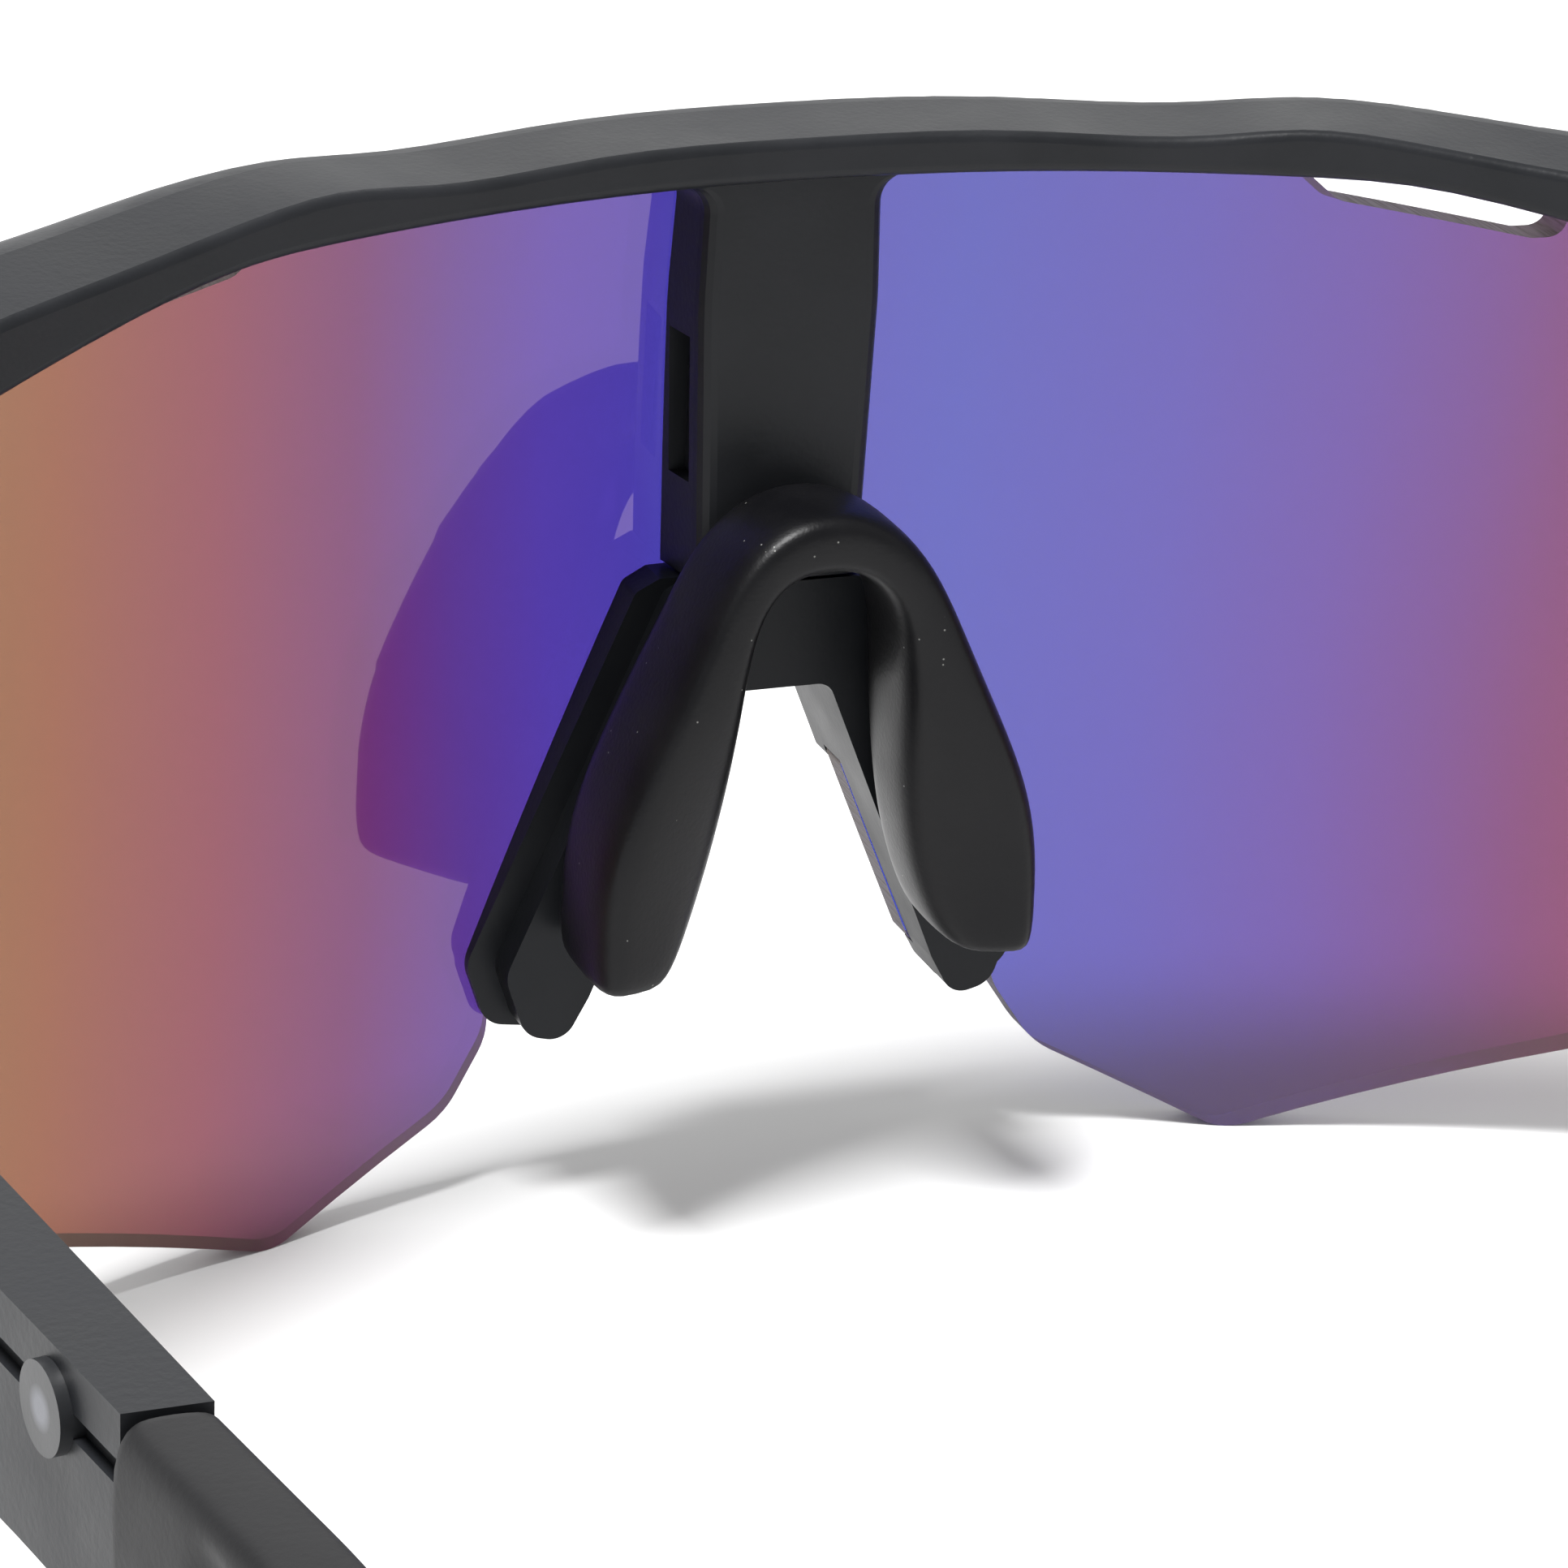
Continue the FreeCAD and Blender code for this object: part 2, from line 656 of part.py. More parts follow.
pad(carrier_blank, at_depth(carrier_blank, "catch_outline", [catch_front], tongue_rear),
    "catches", "tongue_rear - window_front - 0.2")
nose_carrier = boolean("Cut", "nose_carrier", carrier_blank, lens_room)

# ---------------------------------------------------------------------------------------------
# Nose pad: one soft saddle, an arch over the bridge and two wings along the legs
# ---------------------------------------------------------------------------------------------
nose_pad = new_body("nose_pad")
pad_outline = mirrored([
    (2.8, 33.8, 2.3),
    (4.0, 30.6, 3.0),
    (4.2, 25.6, 6.0),
    (5.0, 21.6, 6.0),
    (8.6, 14.0, 1.8),
    (11.6, 13.8, 1.7),
    (11.3, 18.0, 6.0),
    (8.4, 26.0, 20.0),
    (5.6, 32.6, 6.0),
    (3.0, 37.2, 3.2),
])
pad_rear = size("pad_rear")
pad(nose_pad, at_depth(nose_pad, "pad_outline", [pad_outline], pad_rear), "pad_block", "pad_rear - pad_front")
beside_pad = 20.0
over_carrier = rectangle(-beside_pad, leg_top - 0.6, beside_pad, brow)
pocket(nose_pad, at_depth(nose_pad, "column_side", [over_carrier], size("pad_front")),
       "column_relief", "column_rear + arch_clearance - pad_front")
sloped_back = rounded_outline([
    (size("arch_rear"), brow, 0),
    (size("arch_rear"), 33.5, 8.0),
    (pad_rear, 21.5, 8.0),
    (pad_rear, 18.0, 0),
    (pad_rear + 1.0, 18.0, 0),
    (pad_rear + 1.0, brow, 0),
])
pocket(nose_pad, sketch_on(nose_pad, "YZ_Plane", "pad_back", [sloped_back]), "pad_slope")

# ---------------------------------------------------------------------------------------------
# Temples: upright profile and plan crossed with one another, so each blade bends both ways
# ---------------------------------------------------------------------------------------------
temple_top = size("temple_top")
temple_front = size("temple_front")
sock_start = size("sock_start")
rear_height = size("temple_rear_height")
rear_thickness = size("temple_rear_thickness")


def outer_face(y, inset):
    """Place on the temple's plan at a distance inside its outer face."""
    share = (y - hinge_y) / size("plan_length")
    bow = 4 * size("temple_bow") * share * (1 - share)
    return vec(size("half_width") - size("temple_lean") * share + bow - inset, y)


def plan_strip(outer, inner_front, inner_rear, start, end):
    """Plan between a distance inside the outer face and one that changes from front to rear."""
    middle = (start + end) / 2
    out = [outer_face(y, outer) for y in (start, middle, end)]
    inner_middle = (inner_front + inner_rear) / 2
    inside = [outer_face(end, inner_rear), outer_face(middle, inner_middle), outer_face(start, inner_front)]
    return [
        Part.Arc(out[0], out[1], out[2]),
        Part.LineSegment(out[2], inside[0]),
        Part.Arc(inside[0], inside[1], inside[2]),
        Part.LineSegment(inside[2], out[0]),
    ]


def ear_profile(height, start, short):
    """Upright profile of a blade of this height: level, then turned down to the ear tip."""
    turn = math.radians(size("ear_turn"))
    bend = size("ear_radius")
    bend_start = hinge_y + size("bend_back")
    level = temple_top - rear_height / 2
    tip = rear_height / 2
    half = height / 2
    bend_y = bend_start + bend * math.sin(turn)
    bend_z = level - bend * (1 - math.cos(turn))
    run = (bend_z - tip) / math.sin(turn) - short
    across = vec(math.sin(turn), math.cos(turn))
    along = vec(math.cos(turn), -math.sin(turn))
    tip_middle = vec(bend_y, bend_z) + along * run

    def on_bend(offset, angle):
        return vec(bend_start + (bend + offset) * math.sin(angle),
                   level - bend + (bend + offset) * math.cos(angle))

    top_end = tip_middle + across * half
    low_end = tip_middle - across * half
    return [
        Part.LineSegment(vec(start, level + half), on_bend(half, 0)),
        Part.Arc(on_bend(half, 0), on_bend(half, turn / 2), on_bend(half, turn)),
        Part.LineSegment(on_bend(half, turn), top_end),
        Part.Arc(top_end, tip_middle + along * half, low_end),
        Part.LineSegment(low_end, on_bend(-half, turn)),
        Part.Arc(on_bend(-half, turn), on_bend(-half, turn / 2), on_bend(-half, 0)),
        Part.LineSegment(on_bend(-half, 0), vec(start, level - half)),
        Part.LineSegment(vec(start, level - half), vec(start, level + half)),
    ]


def crossed(label, profile, plan):
    """Solid common to a profile run across the width and a plan run up the height."""
    lengthwise = FreeCAD.Placement(vec(0, 0, 0), FreeCAD.Rotation(vec(1, 1, 1), 120))
    solids = []
    for name, outline, place, direction in (("side", profile, lengthwise, vec(1, 0, 0)),
                                            ("above", plan, FreeCAD.Placement(), vec(0, 0, 1))):
        sketch = doc.addObject("Sketcher::SketchObject", "%s_%s_outline" % (label, name))
        sketch.Placement = place
        for edge in outline:
            sketch.addGeometry(edge, False)
        solid = doc.addObject("Part::Extrusion", "%s_%s" % (label, name))
        solid.Base = sketch
        solid.DirMode = "Custom"
        solid.Dir = direction
        solid.setExpression("LengthFwd", formula("half_width + brow_height"))
        solid.LengthRev = 5.0
        solid.Solid = True
        solids.append(solid)
    return boolean("Common", label, solids[0], solids[1])


corner_round = size("temple_round")
arm_end = sock_start - size("sock_gap")
arm_profile = rounded_outline([
    (temple_front, temple_top, corner_round),
    (temple_front, temple_top - size("temple_height"), corner_round),
    (temple_front + 12.0, temple_top - size("temple_height"), 40.0),
    (arm_end - 8.0, temple_top - rear_height, 60.0),
    (arm_end, temple_top - rear_height, 0),
    (arm_end, temple_top, 0),
])
thickness = size("temple_thickness")
arm = crossed("arm", arm_profile,
              plan_strip(0.0, thickness, rear_thickness, temple_front - 1.0, arm_end + 1.0))
core_start = sock_start - size("core_root")
core_inset = size("core_inset")
core_end = hinge_y + size("plan_length")
core = crossed("core", ear_profile(size("core_height"), core_start, size("core_short")),
               plan_strip(core_inset, core_inset + size("core_thickness"),
                          core_inset + size("core_thickness"), core_start - 1.0, core_end))
temple_blank = boolean("Fuse", "temple_blank", arm, core)

leaf_pocket = box("leaf_pocket", ("pocket_inner", "hinge_setback - 1", "hinge_z - pocket_half"),
                  ("seat_x", "hinge_setback + leaf_reach", "hinge_z + pocket_half + screw_head_height"))
line_z = temple_top - size("line_drop")
half_line = size("line_height") / 2
line_profile = rounded_outline([
    (temple_front + size("line_start"), line_z - half_line, half_line / 2),
    (sock_start + 1.0, line_z - half_line, 0),
    (sock_start + 1.0, line_z + half_line, 0),
    (temple_front + size("line_start"), line_z + half_line, half_line / 2),
])
side_line = crossed("side_line", line_profile,
                    plan_strip(-1.0, size("line_depth"), size("line_depth"),
                               temple_front + 10.0, sock_start + 2.0))

# The stud is pressed square into the outer face, on the line.
stud_y = sock_start - size("stud_back")
face_run = outer_face(stud_y + 1.0, 0.0) - outer_face(stud_y - 1.0, 0.0)
face_turn = math.degrees(math.atan2(-face_run.x, face_run.y))
across_face = FreeCAD.Rotation(vec(0, 0, 1), face_turn) * FreeCAD.Rotation(vec(0, 1, 0), 90)
sunk = across_face.multVec(vec(0, 0, size("stud_depth") - size("stud_proud")))
on_face = outer_face(stud_y, 0.0) + vec(0, 0, line_z)
stud_place = FreeCAD.Placement(on_face - sunk, across_face)
temple_stud = doc.addObject("Part::Cylinder", "temple_stud_left")
stud_seat = doc.addObject("Part::Cylinder", "stud_seat")
for feature, length in ((temple_stud, "stud_depth"), (stud_seat, "stud_depth + 5")):
    feature.setExpression("Radius", formula("stud_radius"))
    feature.setExpression("Height", formula(length))
    feature.Placement = stud_place
temple_stud.Label = "temple_stud_left"
temple_left = temple_blank
for name, tool in (("temple_pocketed", leaf_pocket), ("temple_lined", side_line), ("temple_left", stud_seat)):
    temple_left = boolean("Cut", name, temple_left, tool)

sock_proud = size("sock_proud")
sock_blank = crossed("sock_blank", ear_profile(rear_height, sock_start, 0.0),
                     plan_strip(-sock_proud, rear_thickness + sock_proud, rear_thickness + sock_proud,
                                sock_start - 1.0, core_end + 2.0))
core_gap = size("core_gap")
room_inner = core_inset + size("core_thickness") + core_gap
core_room = crossed("core_room", ear_profile(size("core_height") + 2 * core_gap, core_start,
                                             size("core_short") - 2 * core_gap),
                    plan_strip(core_inset - core_gap, room_inner, room_inner, core_start - 1.0, core_end))
ear_sock = boolean("Cut", "ear_sock_left", sock_blank, core_room)
doc.recompute()

# ---------------------------------------------------------------------------------------------
# The right side mirrors the left; everything is set down about the middle of the model and written
# ---------------------------------------------------------------------------------------------
middle_pieces = [front_frame, shield_lens, nose_carrier, nose_pad]
left_pieces = [front_leaf, rear_leaf, screw, temple_stud, temple_left, ear_sock]
right_pieces = [mirror_copy(piece.Label.replace("left", "right"), piece) for piece in left_pieces]
pieces = middle_pieces + left_pieces + right_pieces
doc.recompute()

low_y = min(piece.Shape.BoundBox.YMin for piece in pieces)
high_y = max(piece.Shape.BoundBox.YMax for piece in pieces)
low_z = min(piece.Shape.BoundBox.ZMin for piece in pieces)
set_down = FreeCAD.Placement(vec(0, -(low_y + high_y) / 2, -low_z), FreeCAD.Rotation())
for piece in middle_pieces + left_pieces:
    piece.Placement = set_down * piece.Placement
doc.recompute()
print("moved by", [round(part, 4) for part in set_down.Base])

failed = [entry.Label for entry in doc.Objects if "Invalid" in entry.State or "Error" in entry.State]
if failed:
    raise RuntimeError("failed: " + ", ".join(failed))
os.makedirs("parts", exist_ok=True)
for piece in pieces:
    if piece.Shape.isNull() or not piece.Shape.isValid():
        raise RuntimeError("no valid solid in " + piece.Label)
    piece.Shape.exportStep(os.path.join("parts", piece.Label + ".step"))
    print(piece.Label, len(piece.Shape.Solids), round(piece.Shape.Volume, 1))
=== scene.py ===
# %% [markdown]
# # Wraparound sport sunglasses
#
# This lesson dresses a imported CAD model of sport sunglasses.  The hard parts keep their CAD meshes and
# get good materials.  The soft parts, the nose pad and the two ear socks, are modelled here with
# bmesh operators, because rubber has fuller, rounder shapes than a plain solid.
#
# The glasses stand on the table plane z = 0.  The lens faces -Y, the temples run towards +Y, and +X is
# the wearer's left.  Everything is in metres.

import json
import math

import bmesh
import bpy
from mathutils import Matrix, Vector


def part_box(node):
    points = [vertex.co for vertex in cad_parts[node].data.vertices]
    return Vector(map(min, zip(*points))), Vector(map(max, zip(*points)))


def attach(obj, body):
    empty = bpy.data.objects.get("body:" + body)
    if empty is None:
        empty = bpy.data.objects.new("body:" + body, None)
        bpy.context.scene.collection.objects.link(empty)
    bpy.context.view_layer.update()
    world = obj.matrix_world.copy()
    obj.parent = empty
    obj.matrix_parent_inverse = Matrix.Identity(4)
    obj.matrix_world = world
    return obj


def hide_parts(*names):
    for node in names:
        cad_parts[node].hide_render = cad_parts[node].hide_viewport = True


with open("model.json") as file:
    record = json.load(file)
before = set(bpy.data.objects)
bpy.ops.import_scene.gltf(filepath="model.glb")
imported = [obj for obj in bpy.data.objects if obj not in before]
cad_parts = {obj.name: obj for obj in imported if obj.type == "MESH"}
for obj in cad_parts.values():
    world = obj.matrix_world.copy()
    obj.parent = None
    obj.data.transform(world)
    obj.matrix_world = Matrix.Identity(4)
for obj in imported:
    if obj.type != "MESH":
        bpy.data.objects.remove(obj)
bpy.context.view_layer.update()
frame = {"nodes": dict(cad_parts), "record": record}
MM = 0.001
SIDES = {"left": 1, "right": -1}      # which way +X each side lies
print("nodes:", sorted(frame["nodes"]))

# %% [markdown]
# ## Small helpers for materials
#
# A node group holds each effect that more than one material uses.  It puts out only colours, masks and
# heights, and the Principled BSDF stays in the material.  `grain` is the fine texture of moulded
# plastic and rubber, and `dust` is the pale lint and specks that rubber collects.

# %% Node helpers
def add_node(tree, kind, **settings):
    """New node with attributes set, such as operation="MULTIPLY"."""
    node = tree.nodes.new(kind)
    for name, value in settings.items():
        setattr(node, name, value)
    return node


def new_group(name, inputs, outputs):
    """Empty shader group with float or colour sockets, and its two end nodes."""
    group = bpy.data.node_groups.new(name, "ShaderNodeTree")
    for label, default in inputs:
        socket = group.interface.new_socket(label, in_out="INPUT", socket_type="NodeSocketFloat")
        socket.default_value = default
    for label, kind in outputs:
        group.interface.new_socket(label, in_out="OUTPUT", socket_type=kind)
    return group, group.nodes.new("NodeGroupInput"), group.nodes.new("NodeGroupOutput")


def object_noise(tree, scale_socket, detail, roughness=0.5):
    """Noise on Object coordinates whose scale comes from a socket."""
    place = add_node(tree, "ShaderNodeTexCoord")
    noise = add_node(tree, "ShaderNodeTexNoise")
    noise.inputs["Detail"].default_value = detail
    noise.inputs["Roughness"].default_value = roughness
    tree.links.new(place.outputs["Object"], noise.inputs["Vector"])
    tree.links.new(scale_socket, noise.inputs["Scale"])
    return noise


def ramp(tree, stops):
    """Colour ramp from (position, colour) stops."""
    node = tree.nodes.new("ShaderNodeValToRGB")
    elements = node.color_ramp.elements
    while len(elements) < len(stops):
        elements.new(0.5)
    for element, (position, colour) in zip(elements, stops):
        element.position = position
        element.color = (*colour, 1.0) if len(colour) == 3 else colour
    return node


def make_grain():
    """Fine moulded grain: a height for bump and a mottled mask for roughness."""
    group, start, end = new_group("grain", [("Scale", 2500.0), ("Mottle Scale", 180.0)],
                                  [("Height", "NodeSocketFloat"), ("Mottle", "NodeSocketFloat")])
    fine = object_noise(group, start.outputs["Scale"], 3.0)
    broad = object_noise(group, start.outputs["Mottle Scale"], 4.0)
    group.links.new(fine.outputs["Fac"], end.inputs["Height"])
    group.links.new(broad.outputs["Fac"], end.inputs["Mottle"])
    return group


def make_dust():
    """Sparse specks: cells whose random value passes a limit, shrunk to small dots."""
    group, start, end = new_group("dust", [("Scale", 900.0), ("Limit", 0.985)],
                                  [("Mask", "NodeSocketFloat")])
    place = add_node(group, "ShaderNodeTexCoord")
    cells = add_node(group, "ShaderNodeTexVoronoi", feature="F1")
    group.links.new(place.outputs["Object"], cells.inputs["Vector"])
    group.links.new(start.outputs["Scale"], cells.inputs["Scale"])
    near = add_node(group, "ShaderNodeMath", operation="LESS_THAN")
    near.inputs[1].default_value = 0.12
    group.links.new(cells.outputs["Distance"], near.inputs[0])
    split = add_node(group, "ShaderNodeSeparateColor")
    group.links.new(cells.outputs["Color"], split.inputs["Color"])
    chosen = add_node(group, "ShaderNodeMath", operation="GREATER_THAN")
    group.links.new(split.outputs["Red"], chosen.inputs[0])
    group.links.new(start.outputs["Limit"], chosen.inputs[1])
    both = add_node(group, "ShaderNodeMath", operation="MULTIPLY")
    group.links.new(near.outputs[0], both.inputs[0])
    group.links.new(chosen.outputs[0], both.inputs[1])
    group.links.new(both.outputs[0], end.inputs["Mask"])
    return group


GRAIN = make_grain()
DUST = make_dust()
print("groups:", [group.name for group in bpy.data.node_groups])

# %% [markdown]
# ## Materials
#
# `moulded` makes every matte black plastic and rubber, with its own darkness, gloss, grain and dust.
# The dark body colour drifts a little with the mottle, and so does the roughness, so that a broad
# face under a soft light is never one flat tone.

# %% Plastic, rubber and steel
LINT = (0.20, 0.20, 0.19, 1.0)
MOTTLE_RANGE = (0.3, 0.7)          # noise values at the low and the high end of tone and gloss


def moulded(name, tones, roughness, grain_scale, relief_depth, dust_limit, dust_scale=900.0, gloss=0.5):
    """Matte moulded material with grain, mottled gloss and a few dust specks.

    tones and roughness are pairs, from the low end of the mottle to its high end.
    """
    material = bpy.data.materials.new(name)
    material.use_nodes = True
    tree = material.node_tree
    shader = tree.nodes["Principled BSDF"]
    grain = add_node(tree, "ShaderNodeGroup", node_tree=GRAIN)
    grain.inputs["Scale"].default_value = grain_scale
    dust = add_node(tree, "ShaderNodeGroup", node_tree=DUST)
    dust.inputs["Limit"].default_value = dust_limit
    dust.inputs["Scale"].default_value = dust_scale
    tone = ramp(tree, list(zip(MOTTLE_RANGE, tones)))
    tree.links.new(grain.outputs["Mottle"], tone.inputs["Fac"])
    specks = add_node(tree, "ShaderNodeMix", data_type="RGBA")
    specks.inputs["B"].default_value = LINT
    tree.links.new(dust.outputs["Mask"], specks.inputs["Factor"])
    tree.links.new(tone.outputs["Color"], specks.inputs["A"])
    tree.links.new(specks.outputs["Result"], shader.inputs["Base Color"])
    rough = add_node(tree, "ShaderNodeMapRange")
    rough.inputs["From Min"].default_value, rough.inputs["From Max"].default_value = MOTTLE_RANGE
    rough.inputs["To Min"].default_value, rough.inputs["To Max"].default_value = roughness
    tree.links.new(grain.outputs["Mottle"], rough.inputs["Value"])
    tree.links.new(rough.outputs["Result"], shader.inputs["Roughness"])
    relief = add_node(tree, "ShaderNodeBump")
    relief.inputs["Strength"].default_value = 1.0
    relief.inputs["Distance"].default_value = relief_depth
    tree.links.new(grain.outputs["Height"], relief.inputs["Height"])
    tree.links.new(relief.outputs["Normal"], shader.inputs["Normal"])
    shader.inputs["Specular IOR Level"].default_value = gloss
    return material


frame_black = moulded(
    "frame_black", tones=((0.012, 0.013, 0.015), (0.018, 0.019, 0.022)), roughness=(0.36, 0.46),
    grain_scale=3200.0, relief_depth=0.012 * MM, dust_limit=0.9994, gloss=0.19)
carrier_black = moulded(
    "carrier_black", tones=((0.009, 0.010, 0.012), (0.013, 0.014, 0.016)), roughness=(0.34, 0.44),
    grain_scale=3200.0, relief_depth=0.008 * MM, dust_limit=0.9992, gloss=0.16)
pad_rubber = moulded(
    "pad_rubber", tones=((0.004, 0.004, 0.005), (0.008, 0.008, 0.009)), roughness=(0.32, 0.44),
    grain_scale=4200.0, relief_depth=0.014 * MM, dust_limit=0.960, dust_scale=2600.0, gloss=0.19)
sock_rubber = moulded(
    "sock_rubber", tones=((0.010, 0.010, 0.011), (0.016, 0.016, 0.017)), roughness=(0.46, 0.62),
    grain_scale=3600.0, relief_depth=0.014 * MM, dust_limit=0.996, dust_scale=1400.0, gloss=0.26)


def plain(name, colour, metallic, roughness):
    """Small parts: one colour with a faint grain in the roughness."""
    lighter = tuple(channel * 1.15 for channel in colour)
    material = moulded(
        name, tones=(colour, lighter), roughness=(roughness - 0.05, roughness + 0.08),
        grain_scale=5000.0, relief_depth=0.004 * MM, dust_limit=0.9999)
    material.node_tree.nodes["Principled BSDF"].inputs["Metallic"].default_value = metallic
    return material


hinge_steel = plain("hinge_steel", (0.42, 0.42, 0.43), metallic=1.0, roughness=0.34)
stud_grey = plain("stud_grey", (0.016, 0.017, 0.019), metallic=0.0, roughness=0.40)
print("materials:", [material.name for material in bpy.data.materials])

# %% [markdown]
# ## Painted highlights on the studs
#
# Each stud is a small pressed pin whose head is dark at the rim, with a painted highlight: a pale dot in
# the middle.  The dot could be its own piece, but a ball that cuts the head does the same with one
# distance: whatever lies inside the ball is painted pale.  The absolute value of the coordinates lets
# one material serve both sides.

# %% Stud dots, painted highlights
STUD_BALL = 1.08 * MM              # leaves a dot of 0.7 mm radius, 0.8 mm outside the stud's middle
# colour of the painted highlight in the middle of each stud head
STUD_HIGHLIGHT = (0.13, 0.135, 0.155)
DOT_EDGE = 0.8                     # share of the radius at which the dot is fully pale


def painted_highlight_dot(material, node_name, radius, colour):
    """Painted highlight: a pale dot in the middle of a small round head, the same on both sides."""
    tree = material.node_tree
    low, high = (Vector(corner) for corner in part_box(node_name))
    place = add_node(tree, "ShaderNodeTexCoord")
    both_sides = add_node(tree, "ShaderNodeVectorMath", operation="ABSOLUTE")
    tree.links.new(place.outputs["Object"], both_sides.inputs[0])
    away = add_node(tree, "ShaderNodeVectorMath", operation="DISTANCE")
    middle = (low + high) / 2
    away.inputs[1].default_value = (abs(middle.x), middle.y, middle.z)
    tree.links.new(both_sides.outputs["Vector"], away.inputs[0])
    dot = add_node(tree, "ShaderNodeMapRange")
    dot.inputs["From Min"].default_value = radius
    dot.inputs["From Max"].default_value = radius * DOT_EDGE
    tree.links.new(away.outputs["Value"], dot.inputs["Value"])
    shader = tree.nodes["Principled BSDF"]
    under = shader.inputs["Base Color"].links[0].from_socket
    paint = add_node(tree, "ShaderNodeMix", data_type="RGBA")
    paint.inputs["B"].default_value = (*colour, 1.0)
    tree.links.new(dot.outputs["Result"], paint.inputs["Factor"])
    tree.links.new(under, paint.inputs["A"])
    tree.links.new(paint.outputs["Result"], shader.inputs["Base Color"])


# paints a pale highlight dot into the base colour of every stud head
painted_highlight_dot(stud_grey, "temple_stud_left", STUD_BALL, STUD_HIGHLIGHT)
print("dot radius in mm:", round(math.sqrt((STUD_BALL / MM) ** 2 - 0.8 ** 2), 2))

# %% [markdown]
# ## The mirrored lens
#
# A mirror film is thin layers whose colour changes with the angle at which it is seen.  A Thin Film
# input could work that out from its thickness, but the colours then follow the viewer and are lost in
# an export.  Here the change is drawn over the lens as a slow gradient from the middle outwards:
# blue-violet, violet, magenta, orange and olive.
# The sheet is real glass of the CAD thickness, so both of its faces mirror the black frame behind
# them, one image a little beside the other.  The cut edge is ground, not polished: it is told apart
# by its normal, because the faces of the shell lean towards the lens's axis and the cut runs straight
# back, so its normal has no part along Y.

# %% Lens material
LENS_FILM = [
    # distance from the middle in mm, towards the wearer's left, and the colour of light let through
    (-67.0, (0.166, 0.060, 0.020)),
    (-54.0, (0.191, 0.036, 0.034)),
    (-45.0, (0.166, 0.022, 0.061)),
    (-39.0, (0.121, 0.022, 0.122)),
    (-35.0, (0.095, 0.030, 0.184)),
    (-30.0, (0.075, 0.039, 0.245)),
    (-22.0, (0.054, 0.050, 0.292)),
    (-11.0, (0.039, 0.057, 0.313)),
    (0.0, (0.041, 0.045, 0.299)),
    (6.0, (0.050, 0.031, 0.265)),
    (10.5, (0.060, 0.031, 0.258)),
    (15.5, (0.073, 0.027, 0.190)),
    (21.0, (0.105, 0.020, 0.106)),
    (28.5, (0.156, 0.029, 0.059)),
    (37.0, (0.175, 0.051, 0.026)),
    (46.0, (0.152, 0.072, 0.015)),
    (67.0, (0.095, 0.079, 0.015)),
]


FILM_DRIFT = 0.006                 # metres by which the bands wander for the full range of the noise
GROUND_LIMIT = 0.25                # a face whose normal has less than this along Y is the cut edge
POLISHED, GROUND = 0.012, 0.55     # roughness of the faces and of the cut edge
CUTTER_MARKS = (5200.0, 300.0, 5200.0)


